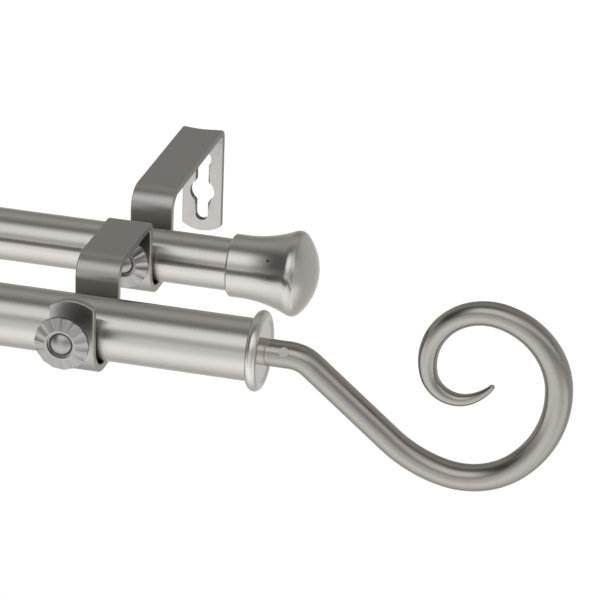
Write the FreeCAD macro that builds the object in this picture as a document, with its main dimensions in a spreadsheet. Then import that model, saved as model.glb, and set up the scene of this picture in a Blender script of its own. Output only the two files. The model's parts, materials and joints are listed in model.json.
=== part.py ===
import FreeCAD, Part
import math
import os
import Sketcher

# Double curtain pole: two wall brackets, two telescoping poles, scroll finials and flared caps.
# Frame: wall plane at y = 0 with the room towards -Y, X along the poles, +Z up, front pole's axis at z = 0.
# Lengths in millimetres, angles in degrees.

SIZES = [
    # poles and where they lie
    ("bracket_spacing", 610.0),
    ("front_axis_from_wall", 173.6),
    ("rear_axis_from_wall", 98.3),
    ("rear_axis_rise", 0.9),
    ("front_pole_radius", 12.7),
    ("rear_pole_radius", 11.1),
    ("tube_wall", 1.0),
    ("tube_clearance", 0.08),
    ("front_overhang", 69.7),
    ("front_reveal", 40.0),
    ("rear_overhang", 40.3),
    ("rear_reveal", 20.0),
    ("inner_end_margin", 8.0),
    # folded strip bracket
    ("strip_width", 18.4),
    ("strip_thickness", 3.2),
    ("arm_top", 22.5),
    ("wall_plate_drop", 27.8),
    ("end_arch", 3.0),
    ("lip_top", 18.8),
    ("front_cup_width", 29.3),
    ("rear_cup_width", 27.6),
    ("rear_pole_lean", 1.0),
    ("front_cup_corner", 10.8),
    ("rear_cup_corner", 8.6),
    ("tight_bend_radius", 2.0),
    ("wide_bend_radius", 6.0),
    ("seat_clearance", 0.02),
    ("keyhole_drop", 8.6),
    ("keyhole_radius", 5.6),
    ("keyhole_slot_width", 5.8),
    ("keyhole_head_radius", 3.9),
    ("keyhole_upper_reach", 19.7),
    ("keyhole_lower_reach", 14.0),
    ("keyhole_blend", 1.5),
    # thumbscrews
    ("screw_rise", 5.85),
    ("screw_radius", 2.95),
    ("screw_clearance", 0.05),
    ("screw_reach", 15.3),
    ("screw_tip_radius", 1.8),
    ("screw_tip_length", 1.15),
    ("front_tip_gap", 3.5),
    ("rear_tip_gap", 0.25),
    ("screw_seat_depth", 1.4),
    ("knob_radius", 11.0),
    ("knob_edge", 2.0),
    ("knob_back_chamfer", 0.4),
    ("knob_ring_height", 3.4),
    ("knob_ring_outer", 6.2),
    ("knob_ring_inner", 5.5),
    ("knob_groove_depth", 1.1),
    ("knob_dome_radius", 4.85),
    ("knob_dome_height", 2.4),
    ("knob_hub_radius", 4.3),
    ("knob_hub_length", 4.5),
    ("flute_count", 15),
    ("flute_radius", 5.0),
    ("flute_rim_depth", 0.5),
    ("flute_ring_depth", 0.18),
    # end collars of the front pole
    ("collar_radius", 16.3),
    ("collar_round", 2.4),
    ("collar_recess", 0.6),
    ("plug_length", 18.0),
    ("plug_clearance", 0.03),
    ("ferrule_length", 2.8),
    ("seam_width", 0.35),
    ("seam_depth", 0.4),
    ("stud_radius", 2.5),
    ("stud_in_collar", 14.0),
    ("stud_in_finial", 7.0),
    # scroll finials
    ("finial_radius", 5.5),
    ("shoulder_end_radius", 5.0),
    ("crown_end_radius", 3.6),
    ("heart_end_radius", 2.2),
    ("finial_tip_radius", 1.1),
    ("stem_straight", 8.1),
    ("stem_bend_radius", 13.9),
    ("stem_drop_angle", 39.8),
    ("stem_diagonal", 42.7),
    ("entry_radius", 52.9),
    ("entry_turn", 27.4),
    ("foot_radius", 32.7),
    ("foot_turn", 53.6),
    ("side_radius", 43.3),
    ("side_turn", 53.9),
    ("shoulder_radius", 30.3),
    ("shoulder_turn", 73.7),
    ("crown_radius", 23.4),
    ("crown_turn", 115.1),
    ("heart_radius", 12.5),
    ("heart_turn", 100.1),
    ("tail_radius", 21.1),
    ("tail_turn", 28.3),
    ("pin_radius", 2.0),
    ("pin_station", 6.5),
    ("pin_angle", 34.0),
    ("pin_proud", 0.15),
    # end caps of the rear pole
    ("cap_length", 37.0),
    ("cap_grip", 22.0),
    ("cap_mouth_radius", 13.35),
    ("cap_mouth_chamfer", 0.7),
    ("cap_straight", 5.0),
    ("cap_flare_reach", 25.8),
    ("cap_flare_radius", 17.8),
    ("cap_rim_round", 4.0),
]

doc = FreeCAD.newDocument("double_curtain_pole")
sheet = doc.addObject("Spreadsheet::Sheet", "Sizes")
for row, (alias, number) in enumerate(SIZES, start=1):
    sheet.set(f"A{row}", alias.replace("_", " "))
    sheet.set(f"B{row}", str(number))
    sheet.setAlias(f"B{row}", alias)
doc.recompute()


# A size carries its number and the sheet expression that gives it.
class Size:
    def __init__(self, number, text):
        self.number = number
        self.text = text

    def __add__(self, other):
        other = as_size(other)
        return Size(self.number + other.number, f"({self.text} + {other.text})")

    def __sub__(self, other):
        other = as_size(other)
        return Size(self.number - other.number, f"({self.text} - {other.text})")

    def __mul__(self, other):
        other = as_size(other)
        return Size(self.number * other.number, f"({self.text} * {other.text})")

    def __truediv__(self, other):
        other = as_size(other)
        return Size(self.number / other.number, f"({self.text} / {other.text})")

    def __neg__(self):
        return Size(-self.number, f"(0 - {self.text})")


def as_size(value):
    if isinstance(value, Size):
        return value
    return Size(float(value), repr(float(value)))


def size(alias):
    return Size(float(sheet.get(alias)), f"Sizes.{alias}")


def root(value):
    return Size(math.sqrt(value.number), f"sqrt({value.text})")


def sine(angle):
    return Size(math.sin(math.radians(angle.number)), f"sin({angle.text} * 1 deg)")


def cosine(angle):
    return Size(math.cos(math.radians(angle.number)), f"cos({angle.text} * 1 deg)")


def bind(thing, path, value):
    thing.setExpression(path, as_size(value).text)


def place(thing, x=None, y=None, z=None, axis=None, turn=0):
    if axis is not None:
        thing.Placement = FreeCAD.Placement(FreeCAD.Vector(), FreeCAD.Rotation(FreeCAD.Vector(*axis), turn))
    for letter, value in (("x", x), ("y", y), ("z", z)):
        if value is not None:
            bind(thing, f"Placement.Base.{letter}", value)


def new_body(label):
    body = doc.addObject("PartDesign::Body", label)
    body.Label = label
    return body


def new_sketch(body, name, role, offset=None):
    sketch = body.newObject("Sketcher::SketchObject", name)
    support = [feature for feature in body.Origin.OriginFeatures if feature.Role == role][0]
    sketch.AttachmentSupport = [(support, "")]
    sketch.MapMode = "FlatFace"
    if offset is not None:
        bind(sketch, "AttachmentOffset.Base.z", offset)
    return sketch


def fix_point(sketch, edge, end, point):
    for kind, value, other_axis in (("DistanceX", point[0], -2), ("DistanceY", point[1], -1)):
        if as_size(value).number == 0:
            sketch.addConstraint(Sketcher.Constraint("PointOnObject", edge, end, other_axis))
        else:
            index = sketch.addConstraint(Sketcher.Constraint(kind, -1, 1, edge, end, as_size(value).number))
            bind(sketch, f"Constraints[{index}]", value)


# Draws corners joined by lines, or by arcs that turn left or right with a given radius.
def draw(sketch, corners, closed=True):
    count = len(corners) if closed else len(corners) - 1
    links = []
    for index in range(count):
        corner = corners[index]
        follower = corners[(index + 1) % len(corners)]
        start = FreeCAD.Vector(as_size(corner[0]).number, as_size(corner[1]).number, 0)
        stop = FreeCAD.Vector(as_size(follower[0]).number, as_size(follower[1]).number, 0)
        if len(corner) == 2:
            edge = sketch.addGeometry(Part.LineSegment(start, stop), False)
            links.append((edge, 1, 2))
            continue
        turn, radius = corner[2], as_size(corner[3])
        across = stop - start
        side = FreeCAD.Vector(-across.y, across.x, 0).normalize()
        sag = math.sqrt(max(radius.number ** 2 - (across.Length / 2) ** 2, 0))
        centre = (start + stop) * 0.5 + side * (sag if turn == "left" else -sag)
        first, last = (start, stop) if turn == "left" else (stop, start)
        angles = [math.atan2(point.y - centre.y, point.x - centre.x) for point in (first, last)]
        circle = Part.Circle(centre, FreeCAD.Vector(0, 0, 1), radius.number)
        edge = sketch.addGeometry(Part.ArcOfCircle(circle, angles[0], angles[1]), False)
        links.append((edge, 1, 2) if turn == "left" else (edge, 2, 1))
        index = sketch.addConstraint(Sketcher.Constraint("Radius", edge, radius.number))
        bind(sketch, f"Constraints[{index}]", radius)
    for index in range(count - 1 if not closed else count):
        edge, _, end = links[index]
        follower, begin, _ = links[(index + 1) % count]
        sketch.addConstraint(Sketcher.Constraint("Coincident", edge, end, follower, begin))
    for (edge, begin, _), corner in zip(links, corners):
        fix_point(sketch, edge, begin, corner)
    if not closed:
        fix_point(sketch, links[-1][0], links[-1][2], corners[-1])


def draw_circle(sketch, centre, radius):
    middle = FreeCAD.Vector(as_size(centre[0]).number, as_size(centre[1]).number, 0)
    edge = sketch.addGeometry(Part.Circle(middle, FreeCAD.Vector(0, 0, 1), as_size(radius).number), False)
    index = sketch.addConstraint(Sketcher.Constraint("Radius", edge, as_size(radius).number))
    bind(sketch, f"Constraints[{index}]", radius)
    fix_point(sketch, edge, 3, centre)


def revolve(body, name, corners, axis):
    sketch = new_sketch(body, name + "_profile", "XZ_Plane")
    draw(sketch, corners)
    turned = body.newObject("PartDesign::Revolution", name)
    turned.Profile = sketch
    turned.ReferenceAxis = (sketch, [axis])
    turned.Angle = 360
    doc.recompute()
    return turned


# Cuts a sketch towards the wall and makes sure that it took material away.
def pocket(body, name, sketch, depth):
    before = body.Shape.Volume
    cut = body.newObject("PartDesign::Pocket", name)
    cut.Profile = sketch
    bind(cut, "Length", depth)
    doc.recompute()
    if body.Shape.Volume >= before - 1e-6:
        raise RuntimeError(f"{body.Label}: {name} cuts nothing")
    return cut


# Rounds the edges that run through the given points and lie along one direction.
def round_edges(body, name, points, direction, radius):
    names = []
    for number, edge in enumerate(body.Shape.Edges, start=1):
        if len(edge.Vertexes) != 2 or edge.Curve.TypeId != "Part::GeomLine":
            continue
        along = (edge.Vertexes[1].Point - edge.Vertexes[0].Point).normalize()
        if abs(abs(along.dot(direction)) - 1) > 1e-6:
            continue
        for point in points:
            if (point - edge.Vertexes[0].Point).cross(along).Length < 1e-4:
                names.append(f"Edge{number}")
    if len(names) != len(points):
        raise RuntimeError(f"{body.Label}: {name} found {len(names)} edges of {len(points)}")
    fillet = body.newObject("PartDesign::Fillet", name)
    fillet.Base = (body.Tip, names) if body.Tip != fillet else (fillet.BaseFeature, names)
    bind(fillet, "Radius", radius)
    doc.recompute()
    return fillet


half_spacing = size("bracket_spacing") / 2
front_axis = size("front_axis_from_wall")
rear_axis = size("rear_axis_from_wall")
rear_height = size("rear_axis_rise")
front_screw = size("screw_rise")
rear_screw = rear_height + size("screw_rise")
front_outer = size("front_pole_radius")
rear_outer = size("rear_pole_radius")
front_bore = front_outer - size("tube_wall")
rear_bore = rear_outer - size("tube_wall")
front_inner = front_bore - size("tube_clearance")
rear_inner = rear_bore - size("tube_clearance")
strip = size("strip_thickness")
seat = size("seat_clearance")

# Faces of the folded strip as distances from the wall, and the floors of the two cups.
rear_middle = rear_axis - size("rear_pole_lean")
rear_limb = rear_middle - size("rear_cup_width") / 2
rear_lip = rear_middle + size("rear_cup_width") / 2
front_limb = front_axis - size("front_cup_width") / 2
front_lip = front_axis + size("front_cup_width") / 2
rear_floor = rear_height - rear_outer - seat
front_floor = -front_outer - seat
arm_top = size("arm_top")
arm_under = arm_top - strip


def make_bracket(label, side):
    body = new_body(label)
    profile = new_sketch(body, "strip_profile", "YZ_Plane")
    draw(profile, [
        (0, -size("wall_plate_drop")),
        (0, arm_top),
        (-rear_limb, arm_top),
        (-rear_limb, rear_floor),
        (-rear_lip, rear_floor),
        (-rear_lip, arm_top),
        (-front_limb, arm_top),
        (-front_limb, front_floor),
        (-front_lip, front_floor),
        (-front_lip, size("lip_top")),
        (-front_lip - strip, size("lip_top")),
        (-front_lip - strip, front_floor - strip),
        (-front_limb + strip, front_floor - strip),
        (-front_limb + strip, arm_under),
        (-rear_lip - strip, arm_under),
        (-rear_lip - strip, rear_floor - strip),
        (-rear_limb + strip, rear_floor - strip),
        (-rear_limb + strip, arm_under),
        (-strip, arm_under),
        (-strip, -size("wall_plate_drop")),
    ])
    pad = body.newObject("PartDesign::Pad", "strip")
    pad.Profile = profile
    pad.SideType = "Symmetric"
    bind(pad, "Length", size("strip_width"))
    doc.recompute()

    along = FreeCAD.Vector(1, 0, 0)
    tight = size("tight_bend_radius")
    wide = size("wide_bend_radius")
    rear_cup = size("rear_cup_corner")
    front_cup = size("front_cup_corner")
    bends = [
        ("tight_bend_inside", tight, [(-strip, arm_under), (-rear_lip - strip, arm_under)]),
        ("tight_bend_outside", tight + strip, [(0, arm_top), (-rear_lip, arm_top)]),
        ("wide_bend_inside", wide, [(-rear_limb + strip, arm_under), (-front_limb + strip, arm_under)]),
        ("wide_bend_outside", wide + strip, [(-rear_limb, arm_top), (-front_limb, arm_top)]),
        ("rear_cup_inside", rear_cup, [(-rear_limb, rear_floor), (-rear_lip, rear_floor)]),
        ("rear_cup_outside", rear_cup + strip, [(-rear_limb + strip, rear_floor - strip),
                                                (-rear_lip - strip, rear_floor - strip)]),
        ("front_cup_inside", front_cup, [(-front_limb, front_floor), (-front_lip, front_floor)]),
        ("front_cup_outside", front_cup + strip, [(-front_limb + strip, front_floor - strip),
                                                  (-front_lip - strip, front_floor - strip)]),
    ]
    for name, radius, corners in bends:
        points = [FreeCAD.Vector(0, as_size(y).number, as_size(z).number) for y, z in corners]
        round_edges(body, name, points, along, radius)

    # Both ends of the strip are cut to a shallow arch.
    half = size("strip_width") / 2
    arch = size("end_arch")
    arch_radius = (half * half + arch * arch) / (arch * 2)
    beyond = strip
    lip_end = new_sketch(body, "lip_end", "XZ_Plane", front_lip + strip)
    draw(lip_end, [
        (-half, size("lip_top") - arch, "right", arch_radius),
        (half, size("lip_top") - arch),
        (half, size("lip_top") + beyond),
        (-half, size("lip_top") + beyond),
    ])
    pocket(body, "lip_end_cut", lip_end, strip * 2)
    plate_end = new_sketch(body, "plate_end", "XZ_Plane", strip)
    draw(plate_end, [
        (half, arch - size("wall_plate_drop"), "right", arch_radius),
        (-half, arch - size("wall_plate_drop")),
        (-half, -size("wall_plate_drop") - beyond),
        (half, -size("wall_plate_drop") - beyond),
    ])
    pocket(body, "plate_end_cut", plate_end, strip * 2)

    # Keyhole: a round hole with a slot up and a slot down.
    slot = size("keyhole_slot_width") / 2
    hole_centre = -size("keyhole_drop")
    slot_top = hole_centre + size("keyhole_upper_reach") - size("keyhole_head_radius")
    slot_foot = hole_centre - size("keyhole_lower_reach") + slot
    keyslot = new_sketch(body, "keyhole_slot", "XZ_Plane", strip)
    middle = (slot_top + slot_foot) / 2
    draw(keyslot, [
        (slot, middle),
        (slot, slot_top, "left", slot),
        (0, slot_top + slot, "left", slot),
        (-slot, slot_top),
        (-slot, slot_foot, "left", slot),
        (0, slot_foot - slot, "left", slot),
        (slot, slot_foot),
    ])
    pocket(body, "keyhole_slot_cut", keyslot, strip * 2)
    keyhead = new_sketch(body, "keyhole_head", "XZ_Plane", strip)
    draw_circle(keyhead, (0, slot_top), size("keyhole_head_radius"))
    pocket(body, "keyhole_head_cut", keyhead, strip * 2)
    keyround = new_sketch(body, "keyhole_round", "XZ_Plane", strip)
    draw_circle(keyround, (0, hole_centre), size("keyhole_radius"))
    pocket(body, "keyhole_round_cut", keyround, strip * 2)
    waist = root(size("keyhole_radius") * size("keyhole_radius") - slot * slot)
    points = []
    for x in (slot, -slot):
        for z in (hole_centre + waist, hole_centre - waist):
            points.append(FreeCAD.Vector(x.number, 0, z.number))
    round_edges(body, "keyhole_blend", points, FreeCAD.Vector(0, 1, 0), size("keyhole_blend"))

    # Holes for the thumbscrews in the two lips.
    for name, lip, height in (("front_screw_hole", front_lip, front_screw), ("rear_screw_hole", rear_lip, rear_screw)):
        hole = new_sketch(body, name, "XZ_Plane", lip + strip)
        draw_circle(hole, (0, height), size("screw_radius") + size("screw_clearance"))
        pocket(body, name + "_cut", hole, strip * 2)
    place(body, x=half_spacing * side)
    return body


def make_tube(label, radius, bore, start, length, axis, height):
    body = new_body(label)
    section = new_sketch(body, "tube_section", "YZ_Plane")
    draw_circle(section, (0, 0), radius)
    draw_circle(section, (0, 0), bore)
    pad = body.newObject("PartDesign::Pad", "tube")
    pad.Profile = section
    bind(pad, "Length", length)
    place(body, x=start, y=-axis, z=height)
    return body


# The collar's rim is a full round bead, and its end face lies a little below the bead's crest.
collar_face = size("collar_round") * 2 - size("collar_recess")


# The collar's own X runs outwards from the end of its tube.
def make_collar(label, side, bore):
    body = new_body(label)
    rim = size("collar_radius")
    bead = size("collar_round")
    thick = collar_face
    face_radius = rim - bead - root(bead * bead - (thick - bead) * (thick - bead))
    plug = bore - size("plug_clearance")
    ferrule_end = thick + size("ferrule_length")
    seam = ferrule_end - size("seam_width")
    revolve(body, "collar", [
        (-size("plug_length"), size("stud_radius")),
        (-size("plug_length"), plug - size("seam_depth")),
        (-size("plug_length") + size("seam_depth"), plug),
        (0, plug),
        (0, rim - bead, "right", bead),
        (bead, rim, "right", bead),
        (thick, face_radius),
        (thick, size("finial_radius")),
        (seam, size("finial_radius")),
        (seam, size("finial_radius") - size("seam_depth")),
        (ferrule_end, size("finial_radius") - size("seam_depth")),
        (ferrule_end, size("stud_radius")),
    ], "H_Axis")
    place(body, axis=(0, 0, 1), turn=0 if side > 0 else 180)
    place(body, x=(half_spacing + size("front_overhang")) * side, y=-front_axis)
    return body


# Ends of the scroll's arcs from the start of the stem, in the finial's own plane, each with its heading.
ARCS = ("entry", "foot", "side", "shoulder", "crown", "heart", "tail")
drop = size("stem_drop_angle")
bend_end = (size("stem_straight") + size("stem_bend_radius") * sine(drop),
            -(size("stem_bend_radius") * (as_size(1) - cosine(drop))))
diagonal_end = (bend_end[0] + size("stem_diagonal") * cosine(drop),
                bend_end[1] - size("stem_diagonal") * sine(drop))
arc_ends = {}
point, heading = diagonal_end, -drop
for arc in ARCS:
    radius = size(f"{arc}_radius")
    onward = heading + size(f"{arc}_turn")
    point = (point[0] + radius * (sine(onward) - sine(heading)),
             point[1] + radius * (cosine(heading) - cosine(onward)))
    heading = onward
    arc_ends[arc] = (point, heading)


def section_circle(name, point, heading, radius):
    circle = doc.addObject("Part::Circle", name)
    bind(circle, "Radius", radius)
    circle.Placement = FreeCAD.Placement(FreeCAD.Vector(), FreeCAD.Rotation(FreeCAD.Vector(0, 1, 0), 90))
    bind(circle, "Placement.Rotation.Angle", as_size(90) - heading)
    place(circle, x=point[0], z=point[1])
    return circle


def sweep(name, spine, edges, sections):
    rod = doc.addObject("Part::Sweep", name)
    rod.Sections = sections
    rod.Spine = (spine, [f"Edge{number}" for number in edges])
    rod.Solid = True
    rod.Frenet = False
    return rod


# A round rod swept along lines and tangent arcs, thinner towards the tip.
def make_finial(label, side):
    spine = doc.addObject("Sketcher::SketchObject", label + "_path")
    spine.Placement = FreeCAD.Placement(FreeCAD.Vector(), FreeCAD.Rotation(FreeCAD.Vector(1, 0, 0), 90))
    starts = [diagonal_end] + [arc_ends[arc][0] for arc in ARCS[:-1]]
    bows = [start + ("left", size(f"{arc}_radius")) for start, arc in zip(starts, ARCS)]
    draw(spine, [
        (0, 0),
        (size("stem_straight"), 0, "right", size("stem_bend_radius")),
        bend_end,
    ] + bows + [arc_ends["tail"][0]], closed=False)
    origin = (as_size(0), as_size(0))
    stem_section = section_circle(label + "_start", origin, as_size(0), size("finial_radius"))
    scroll_sections = []
    for arc, radius in (("side", "finial_radius"), ("shoulder", "shoulder_end_radius"),
                        ("crown", "crown_end_radius"), ("heart", "heart_end_radius"),
                        ("tail", "finial_tip_radius")):
        point, heading = arc_ends[arc]
        scroll_sections.append(section_circle(f"{label}_{arc}_end", point, heading, size(radius)))
    doc.recompute()
    stem = sweep(label + "_stem", spine, range(1, 7), [stem_section])
    scroll = sweep(label + "_scroll", spine, range(7, 11), scroll_sections)
    tip = doc.addObject("Part::Sphere", label + "_tip")
    bind(tip, "Radius", size("finial_tip_radius"))
    place(tip, x=arc_ends["tail"][0][0], z=arc_ends["tail"][0][1])
    whole = doc.addObject("Part::MultiFuse", label + "_whole")
    whole.Shapes = [stem, scroll, tip]
    bore = doc.addObject("Part::Cylinder", label + "_stud_bore")
    bind(bore, "Radius", size("stud_radius"))
    bind(bore, "Height", size("stud_in_finial"))
    place(bore, axis=(0, 1, 0), turn=90)
    bored = doc.addObject("Part::Cut", label + "_bored")
    bored.Base = whole
    bored.Tool = bore
    pin_bore = doc.addObject("Part::Cylinder", label + "_pin_bore")
    bind(pin_bore, "Radius", size("pin_radius"))
    bind(pin_bore, "Height", size("finial_radius") * 2)
    turn_pin(pin_bore, 1, as_size(0), size("pin_station"), as_size(0))
    finial = doc.addObject("Part::Cut", label)
    finial.Label = label
    finial.Base = bored
    finial.Tool = pin_bore
    seat_x = half_spacing + size("front_overhang") + collar_face + size("ferrule_length")
    place(finial, axis=(0, 0, 1), turn=0 if side > 0 else 180)
    place(finial, x=seat_x * side, y=-front_axis)
    return finial


# Sets a cylinder's axis square to the stem, raised from the level by the pin's angle.
def turn_pin(cylinder, side, start, x, y):
    cylinder.Placement = FreeCAD.Placement(FreeCAD.Vector(), FreeCAD.Rotation(FreeCAD.Vector(side, 0, 0), 45))
    bind(cylinder, "Placement.Rotation.Angle", as_size(90) - size("pin_angle"))
    place(cylinder, x=x, y=y - start * cosine(size("pin_angle")) * side, z=start * sine(size("pin_angle")))


def make_pin(label, side):
    pin = doc.addObject("Part::Cylinder", label)
    pin.Label = label
    inner = size("stud_radius")
    outer = size("finial_radius") + size("pin_proud")
    bind(pin, "Radius", size("pin_radius"))
    bind(pin, "Height", outer - inner)
    stem = half_spacing + size("front_overhang") + collar_face + size("ferrule_length")
    turn_pin(pin, side, inner, (stem + size("pin_station")) * side, -front_axis)
    return pin


def make_finial_stud(label, side):
    stud = doc.addObject("Part::Cylinder", label)
    stud.Label = label
    bind(stud, "Radius", size("stud_radius"))
    bind(stud, "Height", size("stud_in_collar") + size("stud_in_finial"))
    stem = half_spacing + size("front_overhang") + collar_face + size("ferrule_length")
    place(stud, axis=(0, 1, 0), turn=90 if side > 0 else -90)
    place(stud, x=(stem - size("stud_in_collar")) * side, y=-front_axis)
    return stud


# The cap's own X runs outwards from its mouth.
def make_cap(label, side, tube_radius):
    body = new_body(label)
    bore = tube_radius + size("plug_clearance")
    mouth = size("cap_mouth_radius")
    chamfer = size("cap_mouth_chamfer")
    run = size("cap_flare_reach") - size("cap_straight")
    rise = size("cap_flare_radius") - mouth
    flare = (run * run + rise * rise) / (rise * 2)
    rim = size("cap_rim_round")
    rim_x = size("cap_flare_reach") + rim * (run / flare)
    rim_r = size("cap_flare_radius") - rim * (as_size(1) - rise / flare)
    ahead = size("cap_length") - rim_x
    dome = (ahead * ahead + rim_r * rim_r - rim * rim) / ((ahead - rim) * 2)
    dome_x = size("cap_length") - dome
    stretch = dome / (dome - rim)
    revolve(body, "cap", [
        (0, bore),
        (0, mouth - chamfer),
        (chamfer, mouth),
        (size("cap_straight"), mouth, "left", flare),
        (size("cap_flare_reach"), size("cap_flare_radius"), "right", rim),
        (dome_x + (rim_x - dome_x) * stretch, rim_r * stretch, "right", dome),
        (size("cap_length"), 0),
        (size("cap_grip"), 0),
        (size("cap_grip"), bore),
    ], "H_Axis")
    place(body, axis=(0, 0, 1), turn=0 if side > 0 else 180)
    place(body, x=(half_spacing + size("rear_overhang")) * side, y=-rear_axis, z=rear_height)
    return body


# Where the screw's tip stands in front of a pole, measured from the pole's axis towards the room.
def tip_distance(pole, gap):
    low = size("screw_rise") - size("screw_tip_radius")
    return root(pole * pole - low * low) + gap


# The knob's own Z runs towards the room, with z = 0 at the back of its head.
def make_knob(label, side, tip, height):
    body = new_body(label)
    edge = size("knob_edge")
    crown = size("knob_ring_height")
    groove = crown - size("knob_groove_depth")
    base = size("knob_dome_radius")
    rise = size("knob_dome_height")
    dome = (base * base + rise * rise) / (rise * 2)
    chamfer = size("knob_back_chamfer")
    revolve(body, "knob", [
        (0, groove + rise),
        (0, size("screw_seat_depth")),
        (size("screw_radius"), size("screw_seat_depth")),
        (size("screw_radius"), -size("knob_hub_length")),
        (size("knob_hub_radius"), -size("knob_hub_length")),
        (size("knob_hub_radius"), 0),
        (size("knob_radius") - chamfer, 0),
        (size("knob_radius"), chamfer),
        (size("knob_radius"), edge),
        (size("knob_ring_outer"), crown),
        (size("knob_ring_inner"), crown),
        (size("knob_ring_inner"), groove),
        (base, groove, "left", dome),
    ], "V_Axis")

    # One radial flute, deeper at the rim, repeated round the head.
    span = size("knob_radius") - size("knob_ring_outer")
    fall = crown - size("flute_ring_depth") - edge + size("flute_rim_depth")
    length = root(span * span + fall * fall)
    flute = body.newObject("PartDesign::SubtractiveCylinder", "flute")
    bind(flute, "Radius", size("flute_radius"))
    bind(flute, "Height", length * 2)
    slope = Size(math.degrees(math.atan2(fall.number, span.number)),
                 f"atan2({fall.text}; {span.text}) / 1 deg")
    flute.Placement = FreeCAD.Placement(FreeCAD.Vector(), FreeCAD.Rotation(FreeCAD.Vector(0, 1, 0), 90))
    bind(flute, "Placement.Rotation.Angle", slope + 90)
    place(flute, x=size("knob_ring_outer") + size("flute_radius") * (fall / length),
          z=crown - size("flute_ring_depth") + size("flute_radius") * (span / length))
    doc.recompute()
    ring = body.newObject("PartDesign::PolarPattern", "flutes")
    ring.Originals = [flute]
    axis_line = [feature for feature in body.Origin.OriginFeatures if feature.Role == "Z_Axis"][0]
    ring.Axis = (axis_line, [""])
    ring.Angle = 360
    bind(ring, "Occurrences", size("flute_count"))
    body.Tip = ring
    place(body, axis=(1, 0, 0), turn=90)
    back = tip + size("screw_reach") - edge
    place(body, x=half_spacing * side, y=-back, z=height)
    return body


# The screw's own Z runs towards the room, with its tip at z = 0.
def make_screw(label, side, tip, height):
    body = new_body(label)
    length = size("screw_reach") - size("knob_edge") + size("screw_seat_depth")
    revolve(body, "screw", [
        (0, 0),
        (size("screw_tip_radius"), 0),
        (size("screw_radius"), size("screw_tip_length")),
        (size("screw_radius"), length),
        (0, length),
    ], "V_Axis")
    place(body, axis=(1, 0, 0), turn=90)
    place(body, x=half_spacing * side, y=-tip, z=height)
    return body


front_end = half_spacing + size("front_overhang")
front_outer_start = -(front_end - size("front_reveal"))
rear_mouth = half_spacing + size("rear_overhang")
rear_outer_start = -(rear_mouth - size("rear_reveal"))
rear_end = rear_mouth + size("cap_grip")

front_inner_length = front_end * 2 - size("plug_length") - size("front_reveal") - size("inner_end_margin")
rear_inner_length = rear_end * 2 - size("rear_reveal") - size("inner_end_margin")
front_tip = front_axis + tip_distance(front_outer, size("front_tip_gap"))
rear_tip = rear_axis + tip_distance(rear_outer, size("rear_tip_gap"))

nodes = [
    make_bracket("right_bracket", 1),
    make_bracket("left_bracket", -1),
    make_tube("front_outer_tube", front_outer, front_bore, front_outer_start,
              front_end - front_outer_start, front_axis, 0),
    make_tube("front_inner_tube", front_inner, front_inner - size("tube_wall"), -front_end,
              front_inner_length, front_axis, 0),
    make_tube("rear_outer_tube", rear_outer, rear_bore, rear_outer_start,
              rear_end - rear_outer_start, rear_axis, rear_height),
    make_tube("rear_inner_tube", rear_inner, rear_inner - size("tube_wall"), -rear_end,
              rear_inner_length, rear_axis, rear_height),
]
for hand, side in (("right", 1), ("left", -1)):
    plug_bore = front_bore if side > 0 else front_inner - size("tube_wall")
    nodes.append(make_collar(f"{hand}_front_collar", side, plug_bore))
    nodes.append(make_finial(f"{hand}_scroll_finial", side))
    nodes.append(make_finial_stud(f"{hand}_finial_stud", side))
    nodes.append(make_pin(f"{hand}_finial_pin", side))
    nodes.append(make_cap(f"{hand}_rear_cap", side, rear_outer if side > 0 else rear_inner))
    for row, tip, height in (("front", front_tip, front_screw), ("rear", rear_tip, rear_screw)):
        nodes.append(make_knob(f"{hand}_{row}_knob", side, tip, height))
        nodes.append(make_screw(f"{hand}_{row}_screw", side, tip, height))

doc.recompute()
for item in doc.Objects:
    if "Invalid" in item.State or "Error" in item.State:
        raise RuntimeError(f"{item.Label} failed: {item.State}")
for node in nodes:
    if node.Shape.isNull() or not node.Shape.isValid():
        raise RuntimeError(f"{node.Label} has no valid shape")

os.makedirs("parts", exist_ok=True)
for node in nodes:
    node.Shape.exportStep(f"parts/{node.Label}.step")
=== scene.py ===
import json
import math

import bmesh
import bpy
from mathutils import Matrix, Vector

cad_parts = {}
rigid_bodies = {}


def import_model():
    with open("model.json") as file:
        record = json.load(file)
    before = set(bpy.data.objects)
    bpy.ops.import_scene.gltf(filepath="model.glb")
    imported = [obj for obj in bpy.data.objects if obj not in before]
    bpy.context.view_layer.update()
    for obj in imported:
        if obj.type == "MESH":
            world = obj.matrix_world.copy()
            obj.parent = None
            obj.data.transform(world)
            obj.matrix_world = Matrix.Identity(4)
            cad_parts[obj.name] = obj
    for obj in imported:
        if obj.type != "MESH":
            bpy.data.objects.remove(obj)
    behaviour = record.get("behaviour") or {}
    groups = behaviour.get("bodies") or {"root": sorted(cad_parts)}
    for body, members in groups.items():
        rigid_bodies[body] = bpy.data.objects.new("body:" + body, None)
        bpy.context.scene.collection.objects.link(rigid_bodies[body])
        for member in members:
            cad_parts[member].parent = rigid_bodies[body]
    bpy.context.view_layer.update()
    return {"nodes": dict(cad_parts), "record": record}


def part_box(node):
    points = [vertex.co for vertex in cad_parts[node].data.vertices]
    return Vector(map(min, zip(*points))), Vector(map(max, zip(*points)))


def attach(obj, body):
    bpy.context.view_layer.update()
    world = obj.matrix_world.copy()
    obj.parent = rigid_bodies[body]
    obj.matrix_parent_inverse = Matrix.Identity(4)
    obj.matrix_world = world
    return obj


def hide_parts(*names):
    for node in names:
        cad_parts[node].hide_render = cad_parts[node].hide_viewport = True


# Double curtain pole in satin nickel, seen from its right end as in the photograph.

for leftover in list(bpy.data.objects):
    bpy.data.objects.remove(leftover)

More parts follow.
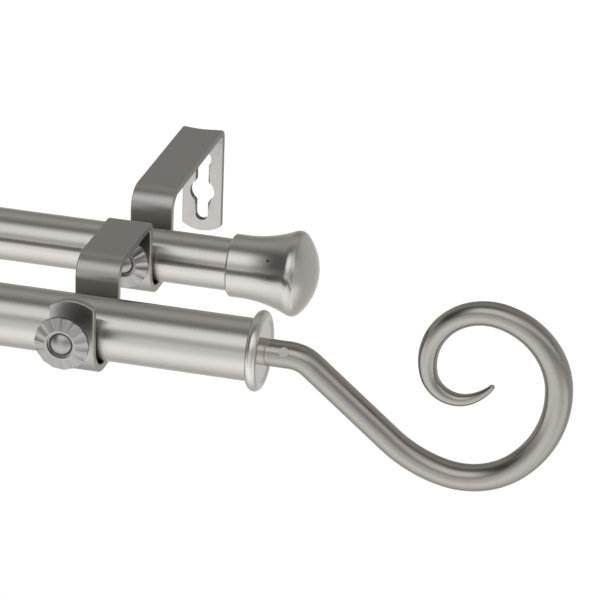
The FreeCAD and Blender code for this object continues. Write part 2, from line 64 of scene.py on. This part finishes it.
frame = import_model()
nodes = frame["nodes"]
slots = {row["node"]: row["material_slot"] for row in frame["record"]["subparts"]}


def middle_of(node):
    low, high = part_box(node)
    return [(start + end) / 2 for start, end in zip(low, high)]


# Camera, fitted to the photograph's edges: angles in degrees, lens and sensor in millimetres
AZIMUTH, ELEVATION, ROLL = 13.371, 24.557, 2.256
CAMERA_PLACE = (0.64278, -1.22498, 0.51826)
LENS, SENSOR = 182.32, 36
CLIP_NEAR, CLIP_FAR = 0.05, 200


def make_camera():
    azimuth, elevation, roll = math.radians(AZIMUTH), math.radians(ELEVATION), math.radians(ROLL)
    back = Vector((math.sin(azimuth) * math.cos(elevation),
                   -math.cos(azimuth) * math.cos(elevation),
                   math.sin(elevation)))
    level = Vector((math.cos(azimuth), math.sin(azimuth), 0))
    upright = back.cross(level)
    right = level * math.cos(roll) + upright * math.sin(roll)
    up = upright * math.cos(roll) - level * math.sin(roll)
    data = bpy.data.cameras.new("camera")
    data.sensor_width = SENSOR
    data.lens = LENS
    data.clip_start = CLIP_NEAR
    data.clip_end = CLIP_FAR
    camera = bpy.data.objects.new("camera", data)
    bpy.context.scene.collection.objects.link(camera)
    turned = Matrix((right, up, back)).transposed().to_4x4()
    camera.matrix_world = Matrix.Translation(CAMERA_PLACE) @ turned
    bpy.context.scene.camera = camera


# Node trees; a setting that starts with in_ is the value of the input of that name
class Tree:
    def __init__(self, owner):
        owner.use_nodes = True
        self.tree = owner.node_tree
        self.tree.nodes.clear()

    def add(self, kind, **settings):
        node = self.tree.nodes.new(kind)
        for name, value in settings.items():
            if name.startswith("in_"):
                node.inputs[name[3:].replace("_", " ")].default_value = value
            else:
                setattr(node, name, value)
        return node

    def link(self, output, target):
        self.tree.links.new(output, target)

    def math(self, operation, first, second=None, third=None):
        node = self.add("ShaderNodeMath", operation=operation)
        for socket, value in zip(node.inputs, (first, second, third)):
            if value is None:
                continue
            if isinstance(value, (int, float)):
                socket.default_value = value
            else:
                self.link(value, socket)
        return node.outputs[0]

    def split(self, vector):
        node = self.add("ShaderNodeSeparateXYZ")
        self.link(vector, node.inputs[0])
        return node.outputs[0], node.outputs[1], node.outputs[2]

    # From 0 at start to 1 at end, eased
    def step(self, value, start, end):
        node = self.add("ShaderNodeMapRange", interpolation_type="SMOOTHSTEP",
                        in_From_Min=start, in_From_Max=end)
        self.link(value, node.inputs["Value"])
        return node.outputs[0]

    def noise(self, place, scale, detail, roughness):
        node = self.add("ShaderNodeTexNoise", in_Scale=scale, in_Detail=detail, in_Roughness=roughness)
        self.link(place, node.inputs["Vector"])
        return node.outputs["Fac"]

    # The colour sockets of a mix node are its seventh and eighth inputs and its third output
    def mix(self, share, below, above):
        node = self.add("ShaderNodeMix", data_type="RGBA")
        self.link(share, node.inputs[0])
        for socket, colour in ((node.inputs[6], below), (node.inputs[7], above)):
            if isinstance(colour, tuple):
                socket.default_value = (*colour, 1)
            else:
                self.link(colour, socket)
        return node.outputs[2]

    def ramp(self, factor, stops):
        node = self.add("ShaderNodeValToRGB")
        node.color_ramp.interpolation = "EASE"
        elements = node.color_ramp.elements
        while len(elements) < len(stops):
            elements.new(1.0)
        for element, (position, colour) in zip(elements, stops):
            element.position = position
            element.color = (*colour, 1)
        self.link(factor, node.inputs["Fac"])
        return node.outputs["Color"]


# Soft studio surroundings: pale panels with dark gaps between them, where the photograph's reflections show
# them. Each row is an angle round the poles, 0 towards the room and 90 straight up, with the brightness.
MIDDLE = [
    (-180, 0.40),  # wall, level with the poles
    (-155, 0.60),  # foot of the wall
    (-115, 0.50),  # shade below the part
    (-40, 1.15),  # pale floor in the room
    (0, 0.80),  # far side of the room
    (20, 0.55),  # gap under the soft box
    (42, 1.10),  # soft box, lower edge
    (57, 1.05),  # soft box, upper edge
    (85, 0.20),  # dark ceiling
    (118, 0.40),  # top of the wall
    (156, 0.25),  # shade on the wall
    (180, 0.40),
]
LEFT = [
    (-180, 0.40),  # wall
    (-130, 0.35),  # shade below the part
    (-42, 1.10),  # pale floor
    (-4, 0.45),  # far side of the room
    (35, 0.10),  # dark screen beside the soft box
    (75, 0.10),  # dark ceiling
    (120, 0.35),  # top of the wall
    (180, 0.40),
]
RIGHT = [
    (-180, 0.50),  # wall
    (-120, 0.50),  # shade below the part
    (-80, 0.95),  # pale floor, near
    (-60, 1.00),  # pale floor, far
    (20, 0.40),  # gap under the soft box
    (52, 0.80),  # end of the soft box
    (100, 0.30),  # dark ceiling
    (180, 0.50),
]
ENDS = 0.46

# Where the left, the right and the ends take over, as the share of the direction that lies along the poles
LEFT_FADE, RIGHT_FADE, END_FADE = (-0.30, -0.75), (0.0, 0.55), (0.88, 1.0)

# Studio brightness; the white that the camera sees behind the part isn't raised by it
STRENGTH = 1.36

# Bright panels are slightly cool, and those dimmer than WARM_BELOW turn warm over WARM_RANGE
COOL, WARMER = (0.985, 1.0, 1.015), (0.045, 0.0, -0.04)
WARM_BELOW, WARM_RANGE = 0.75, 0.5


def light_tint(level):
    warm = max(0.0, min(1.0, (WARM_BELOW - level) / WARM_RANGE))
    return tuple(level * (cool + change * warm) for cool, change in zip(COOL, WARMER))


def make_surroundings():
    world = bpy.data.worlds.new("studio")
    bpy.context.scene.world = world
    t = Tree(world)
    x, y, z = t.split(t.add("ShaderNodeTexCoord").outputs["Generated"])
    angle = t.math("ARCTAN2", z, t.math("MULTIPLY", y, -1.0))
    turn = t.math("MULTIPLY_ADD", angle, 0.5 / math.pi, 0.5)

    def ring(table):
        return t.ramp(turn, [((degrees + 180) / 360, light_tint(level)) for degrees, level in table])

    light = t.mix(t.step(x, *LEFT_FADE), ring(MIDDLE), ring(LEFT))
    light = t.mix(t.step(x, *RIGHT_FADE), light, ring(RIGHT))
    light = t.mix(t.step(t.math("ABSOLUTE", x), *END_FADE), light, light_tint(ENDS))
    white = 1.0 / STRENGTH
    seen = t.mix(t.add("ShaderNodeLightPath").outputs["Is Camera Ray"], light, (white, white, white))
    background = t.add("ShaderNodeBackground", in_Strength=STRENGTH)
    t.link(seen, background.inputs["Color"])
    t.link(background.outputs[0], t.add("ShaderNodeOutputWorld").inputs["Surface"])


# Pale floor, seen from above only and not in the metal
FLOOR_REACH, FLOOR_LEVEL = 30.0, -0.30
FLOOR_COLOUR, FLOOR_GLOW, GLOW_STRENGTH = (0.86, 0.86, 0.85, 1), (1, 1, 0.995, 1), 0.52


def make_floor():
    mesh = bpy.data.meshes.new("floor")
    signs = ((-1, -1), (1, -1), (1, 1), (-1, 1))
    corners = [(x * FLOOR_REACH, y * FLOOR_REACH, FLOOR_LEVEL) for x, y in signs]
    mesh.from_pydata(corners, [], [(0, 1, 2, 3)])
    floor = bpy.data.objects.new("floor", mesh)
    bpy.context.scene.collection.objects.link(floor)
    material = bpy.data.materials.new("pale_floor")
    t = Tree(material)
    pale = t.add("ShaderNodeBsdfDiffuse", in_Color=FLOOR_COLOUR)
    glow = t.add("ShaderNodeEmission", in_Color=FLOOR_GLOW, in_Strength=GLOW_STRENGTH)
    lit = t.add("ShaderNodeAddShader")
    t.link(pale.outputs[0], lit.inputs[0])
    t.link(glow.outputs[0], lit.inputs[1])
    below = t.add("ShaderNodeMixShader")
    t.link(t.add("ShaderNodeNewGeometry").outputs["Backfacing"], below.inputs[0])
    t.link(lit.outputs[0], below.inputs[1])
    t.link(t.add("ShaderNodeBsdfTransparent").outputs[0], below.inputs[2])
    t.link(below.outputs[0], t.add("ShaderNodeOutputMaterial").inputs["Surface"])
    mesh.materials.append(material)
    floor.visible_glossy = False


# Satin nickel: what each mask adds to the shade and to the roughness; on the strip and the fluted heads
# some masks add painted highlight, painted shade and painted light
NICKEL = (0.474, 0.453, 0.426)
SHADE = {"patch": 0.05, "streak": 0.05, "speck": -0.55, "bare_and_highlight": 0.12, "dull_shade": -0.30, "plate_light": 0.20,
         "rim": -0.70, "pit": -0.80}
GLOSS = {"streak": 0.06, "patch": 0.05, "speck": 0.35, "bare_and_highlight": 0.12, "dull_shade": 0.12}
BARE_WARMTH = (0.025, 0.016, -0.025)
PATCH_SCALE, FINE_SCALE = 45.0, 2600.0
FINE_SHARE, BUMP_STRENGTH, BUMP_HEIGHT = 0.35, 0.12, 0.00002
QUARTER_TURN = 0.25
EVEN = (1, 1, 1)


def weigh(t, masks, weights, start):
    total = start
    for name, mask in masks.items():
        if name in weights:
            total = t.math("MULTIPLY_ADD", mask, weights[name], total)
    return total


# Sparse specks in the plating: small spots in some of the cells
SPECK_SCALE, SPECK_OUTSIDE, SPECK_INSIDE, SPECK_CHOICE = 58.0, 0.020, 0.011, 0.55


def speck_mask(t, place):
    cells = t.add("ShaderNodeTexVoronoi", in_Scale=SPECK_SCALE)
    t.link(place, cells.inputs["Vector"])
    chosen = t.add("ShaderNodeSeparateColor")
    t.link(cells.outputs["Color"], chosen.inputs[0])
    spot = t.step(cells.outputs["Distance"], SPECK_OUTSIDE, SPECK_INSIDE)
    return t.math("MULTIPLY", spot, t.math("GREATER_THAN", chosen.outputs[0], SPECK_CHOICE))


# The dark pit in the right cap's plating that the photograph shows
CAP_PIT, PIT_RADIUS = (0.3634, -0.1101, 0.0103), 0.0004


def pit_mask(t, place, pit):
    away = t.add("ShaderNodeVectorMath", operation="DISTANCE")
    t.link(place, away.inputs[0])
    away.inputs[1].default_value = pit
    return t.step(away.outputs["Value"], 2 * PIT_RADIUS, PIT_RADIUS)


# Sheared strip: its two sides are warm bare steel with a painted highlight on the limbs, and rougher with
# painted shade elsewhere;
# the walls of the wall plate's holes get more painted shade, and painted light makes the wall plate's faces
# paler
STRIP_MIDDLE = middle_of("right_bracket")[0]
STRIP_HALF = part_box("right_bracket")[1][0] - STRIP_MIDDLE
SIDE_MARGIN = 0.001
PLATE_FRONT, PLATE_TOP = -0.0034, 0.0155
LIMB_TOP, LIMB_FADE = 0.0165, 0.003
SIDEWAYS, EDGEWAYS = (0.45, 0.85), (0.75, 0.35)
HOLE_SHADE = 2.0


def strip_masks(t, place):
    facing_x, facing_y, _ = t.split(t.add("ShaderNodeTexCoord").outputs["Normal"])
    x, y, z = t.split(place)
    off_middle = t.math("ABSOLUTE", t.math("SUBTRACT", t.math("ABSOLUTE", x), STRIP_MIDDLE))
    within = t.math("LESS_THAN", off_middle, STRIP_HALF - SIDE_MARGIN)
    sideways = t.step(t.math("ABSOLUTE", facing_x), *SIDEWAYS)
    sides = t.math("MULTIPLY", sideways, t.math("SUBTRACT", 1.0, within))
    behind = t.math("GREATER_THAN", y, PLATE_FRONT)
    limb = t.step(z, LIMB_TOP + LIMB_FADE, LIMB_TOP)
    # Warm bare steel on the limbs' sides, lightened by a painted highlight
    bare_and_highlight = t.math("MULTIPLY", t.math("MULTIPLY", sides, limb), t.math("SUBTRACT", 1.0, behind))
    plate = t.math("MULTIPLY", behind, t.math("LESS_THAN", z, PLATE_TOP))
    edgeways = t.step(t.math("ABSOLUTE", facing_y), *EDGEWAYS)
    hole = t.math("MULTIPLY", t.math("MULTIPLY", plate, within), edgeways)
    # Painted shade on the other sides, strongest on the walls of the wall plate's holes
    dull_shade = t.math("MULTIPLY_ADD", hole, HOLE_SHADE, t.math("SUBTRACT", sides, bare_and_highlight))
    # Painted light on the wall plate's faces
    plate_light = t.math("MULTIPLY", plate, t.math("SUBTRACT", 1.0, edgeways))
    return {"bare_and_highlight": bare_and_highlight, "dull_shade": dull_shade, "plate_light": plate_light}


# Painted shade on the rim and grooves of a fluted head, less of it inside RIM_RADIUS
HEAD_HEIGHT = (middle_of("right_front_knob")[2] + middle_of("right_rear_knob")[2]) / 2
RIM_RADIUS, GROOVE_SHADE = 0.008, 0.35
RIM_FACING = (0.65, 0.25)


def rim_mask(t, place):
    facing_y = t.split(t.add("ShaderNodeTexCoord").outputs["Normal"])[1]
    edge = t.step(t.math("ABSOLUTE", facing_y), *RIM_FACING)
    x, _, z = t.split(place)
    off_middle = t.math("SUBTRACT", t.math("ABSOLUTE", x), STRIP_MIDDLE)
    above = t.math("SUBTRACT", z, HEAD_HEIGHT)
    away = t.math("ADD", t.math("POWER", off_middle, 2.0), t.math("POWER", above, 2.0))
    outer = t.math("GREATER_THAN", away, RIM_RADIUS ** 2)
    return t.math("MULTIPLY", edge, t.math("MULTIPLY_ADD", outer, 1 - GROOVE_SHADE, GROOVE_SHADE))


# The grain is stretched along the direction of brushing, and runs in rings round the poles where turned
def satin_nickel(name, level, roughness, grain_scale, grain=EVEN, tint=EVEN, turned=False, sheared=False,
                 rimmed=False, spun=0.0, pit=None):
    material = bpy.data.materials.new(name)
    t = Tree(material)
    place = t.add("ShaderNodeTexCoord").outputs["Object"]
    grain_place = place
    if turned:
        rings = t.add("ShaderNodeCombineXYZ")
        t.link(t.split(place)[0], rings.inputs[0])
        grain_place = rings.outputs[0]
    stretch = t.add("ShaderNodeMapping")
    stretch.inputs["Scale"].default_value = grain
    t.link(grain_place, stretch.inputs["Vector"])
    streaks = t.noise(stretch.outputs[0], grain_scale, detail=3.0, roughness=0.6)
    patches = t.noise(place, PATCH_SCALE, detail=4.0, roughness=0.55)
    fine = t.noise(place, FINE_SCALE, detail=2.0, roughness=0.5)

    masks = {"patch": t.math("SUBTRACT", patches, 0.5), "streak": t.math("SUBTRACT", streaks, 0.5)}
    masks["speck"] = speck_mask(t, place)
    # Painted highlight, painted shade and painted light on the strip
    if sheared:
        masks.update(strip_masks(t, place))
    # Painted shade on the rims and grooves of the fluted heads
    if rimmed:
        masks["rim"] = rim_mask(t, place)
    if pit:
        masks["pit"] = pit_mask(t, place, pit)

    tone = t.add("ShaderNodeVectorMath", operation="SCALE")
    tone.inputs[0].default_value = [plain * warmth * level for plain, warmth in zip(NICKEL, tint)]
    t.link(weigh(t, masks, SHADE, 1.0), tone.inputs["Scale"])
    colour = tone.outputs[0]
    if sheared:
        warm = t.add("ShaderNodeVectorMath", operation="MULTIPLY_ADD")
        t.link(masks["bare_and_highlight"], warm.inputs[0])
        warm.inputs[1].default_value = BARE_WARMTH
        t.link(colour, warm.inputs[2])
        colour = warm.outputs[0]

    bumps = t.add("ShaderNodeBump", in_Strength=BUMP_STRENGTH, in_Distance=BUMP_HEIGHT)
    t.link(t.math("MULTIPLY_ADD", fine, FINE_SHARE, streaks), bumps.inputs["Height"])
    shader = t.add("ShaderNodeBsdfPrincipled", in_Metallic=1.0)
    t.link(colour, shader.inputs["Base Color"])
    t.link(weigh(t, masks, GLOSS, roughness), shader.inputs["Roughness"])
    t.link(bumps.outputs[0], shader.inputs["Normal"])
    if spun:
        shader.inputs["Anisotropic"].default_value = spun
        shader.inputs["Anisotropic Rotation"].default_value = QUARTER_TURN
        round_poles = t.add("ShaderNodeTangent", direction_type="RADIAL", axis="X")
        t.link(round_poles.outputs[0], shader.inputs["Tangent"])
    t.link(shader.outputs[0], t.add("ShaderNodeOutputMaterial").inputs["Surface"])
    return material


# Each slot's nickel: its level, its roughness and the scale of its grain
ALONG_STRIP = (1, 0.03, 0.03)
ROD_TINT = (1.01, 0.99, 0.965)
materials = {
    "pole_tube": satin_nickel("pole_nickel", 1.05, 0.25, 3000, turned=True, spun=0.8),
    "bracket_strip": satin_nickel("strip_nickel", 0.82, 0.35, 900, grain=ALONG_STRIP, sheared=True),
    "turned_end": satin_nickel("turned_nickel", 1.04, 0.19, 1100, turned=True, pit=CAP_PIT),
    "finial_rod": satin_nickel("rod_nickel", 0.67, 0.16, 500, tint=ROD_TINT),
    "thumbscrew_head": satin_nickel("head_nickel", 0.77, 0.32, 700, rimmed=True),
    "screw_steel": satin_nickel("screw_nickel", 0.86, 0.24, 900),
}

# Pins and collars differ from the rest of their slot: the pins' nickel is darkened as painted shade, the
# collars' brightened as painted light
by_last_word = {
    # Painted shade: darker nickel on the pins
    "pin": satin_nickel("pin_shaded_nickel", 0.74, 0.34, 900),
    # Painted light: brighter nickel on the collars
    "collar": satin_nickel("collar_lit_nickel", 1.2, 0.19, 1100, turned=True),
}

for name, thing in nodes.items():
    thing.data.materials.clear()
    thing.data.materials.append(by_last_word.get(name.split("_")[-1], materials[slots[name]]))


# New pieces, smooth up to the angle sharp, each in place of a node of the CAD
MERGE = 0.000002


def add_piece(name, mesh, node, body, slot, sharp):
    data = bpy.data.meshes.new(name)
    mesh.to_mesh(data)
    mesh.free()
    data.polygons.foreach_set("use_smooth", [True] * len(data.polygons))
    data.set_sharp_from_angle(angle=sharp)
    data.materials.clear()
    data.materials.append(materials[slot])
    piece = bpy.data.objects.new(name, data)
    bpy.context.scene.collection.objects.link(piece)
    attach(piece, body)
    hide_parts(node)
    return piece


# The tight bend above the wall plate is slightly hollow across the strip, as a pressed bend is
BEND_SINK, BEND_REACH, BEND_OFF = 0.0007, 0.005, 0.12
BEND_LEAST, BEND_CUTS, CUT_SNAP = 0.02, 8, 0.0000005


def bend_share(spot, corner):
    away = math.hypot(spot[1] - corner[0], spot[2] - corner[1])
    return math.exp(-(away / BEND_REACH) ** 2)


def hollow_bend(mesh, middle, half, corner):
    near = [face for face in mesh.faces if bend_share(face.calc_center_median(), corner) > BEND_LEAST]
    for cut in range(1 - BEND_CUTS, BEND_CUTS):
        spot = (middle + half * cut / BEND_CUTS, 0, 0)
        parts = near + list({edge for face in near for edge in face.edges})
        parts += list({vert for face in near for vert in face.verts})
        made = bmesh.ops.bisect_plane(mesh, geom=parts, dist=CUT_SNAP, plane_co=spot, plane_no=(1, 0, 0))
        near = [piece for piece in made["geom"] if isinstance(piece, bmesh.types.BMFace)]
    for vert in mesh.verts:
        across = ((vert.co.x - middle) / half + BEND_OFF) / (1 + BEND_OFF)
        sink = BEND_SINK * bend_share(vert.co, corner) * max(0.0, 1 - across * across) ** 2
        vert.co.y -= sink
        vert.co.z -= sink


# Bent strip: the bracket again, with the edges along its outline rounded and its holes left crisp
EDGE, EDGE_SEGMENTS = 0.0005, 3
STRIP_SHARP = math.radians(35)
AT_SIDE = 0.00002
LIP_DEPTH, LIP_TOP = 0.004, 0.0155
PLATE_DEPTH, FOOT_HEIGHT = 0.004, 0.0035


def make_strip(name, node, body):
    low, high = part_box(node)
    middle, half = (low[0] + high[0]) / 2, (high[0] - low[0]) / 2
    mesh = bmesh.new()
    mesh.from_mesh(nodes[node].data)
    bmesh.ops.remove_doubles(mesh, verts=mesh.verts, dist=MERGE)
    hollow_bend(mesh, middle, half, (high[1], high[2]))

    def on_outline(spot):
        at_side = abs(abs(spot.x - middle) - half) < AT_SIDE
        at_foot = spot.y > high[1] - PLATE_DEPTH and spot.z < low[2] + FOOT_HEIGHT
        at_lip = spot.y < low[1] + LIP_DEPTH and spot.z > LIP_TOP
        return at_side or at_foot or at_lip

    outline = []
    for edge in mesh.edges:
        start, end = edge.verts
        if edge.calc_face_angle(0) > STRIP_SHARP and on_outline(start.co) and on_outline(end.co):
            outline.append(edge)
    bmesh.ops.bevel(mesh, geom=outline, offset=EDGE, offset_type="OFFSET", segments=EDGE_SEGMENTS,
                    profile=0.5, affect="EDGES", clamp_overlap=False, face_strength_mode="ALL")
    strip = add_piece(name, mesh, node, body, "bracket_strip", STRIP_SHARP)
    shading = strip.modifiers.new("shading", "WEIGHTED_NORMAL")
    shading.keep_sharp = True
    shading.use_face_influence = True


# Rolled thread: a helical band of crest, flank, root and flank, with a coned tip
PITCH, CREST, ROOT = 0.001, 0.00295, 0.00242
TIP_RADIUS, TIP_LENGTH = 0.0018, 0.00115
THREAD_ROWS = [(0.0, CREST), (0.14, CREST), (0.48, ROOT), (0.66, ROOT)]
THREAD_SIDES = 40
THREAD_SHARP = math.radians(28)


def make_thread(name, node, body):
    low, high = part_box(node)
    x, _, z = middle_of(node)
    tip, length = high[1], high[1] - low[1]
    per_turn = len(THREAD_ROWS)
    rows = (int(length / PITCH) + 2) * per_turn
    mesh = bmesh.new()
    grid = []
    for row in range(rows):
        share, radius = THREAD_ROWS[row % per_turn]
        line = []
        for step in range(THREAD_SIDES):
            along = (row // per_turn - 1 + share + step / THREAD_SIDES) * PITCH
            along = max(0.0, min(length, along))
            reach = min(radius, TIP_RADIUS + (CREST - TIP_RADIUS) * along / TIP_LENGTH)
            angle = 2 * math.pi * step / THREAD_SIDES
            spot = (x + reach * math.sin(angle), tip - along, z + reach * math.cos(angle))
            line.append(mesh.verts.new(spot))
        grid.append(line)

    # The last step of a turn joins the first step of the next turn
    for row in range(rows - 1):
        for step in range(THREAD_SIDES):
            if step + 1 < THREAD_SIDES:
                after = (grid[row][step + 1], grid[row + 1][step + 1])
            elif row + per_turn + 1 < rows:
                after = (grid[row + per_turn][0], grid[row + per_turn + 1][0])
            else:
                continue
            mesh.faces.new((grid[row][step], after[0], after[1], grid[row + 1][step]))
    bmesh.ops.remove_doubles(mesh, verts=mesh.verts, dist=MERGE)
    bmesh.ops.dissolve_degenerate(mesh, edges=mesh.edges, dist=MERGE)
    bmesh.ops.holes_fill(mesh, edges=[edge for edge in mesh.edges if edge.is_boundary], sides=0)
    bmesh.ops.recalc_face_normals(mesh, faces=mesh.faces)
    add_piece(name, mesh, node, body, "screw_steel", THREAD_SHARP)


for hand in ("right", "left"):
    make_strip(f"{hand}_bent_strip", f"{hand}_bracket", "wall_set")

for hand in ("right", "left"):
    for row in ("front", "rear"):
        make_thread(f"{hand}_{row}_thread", f"{hand}_{row}_screw", f"{hand}_{row}_thumbscrew")

make_camera()
make_surroundings()
make_floor()
bpy.context.scene.view_settings.view_transform = "Standard"
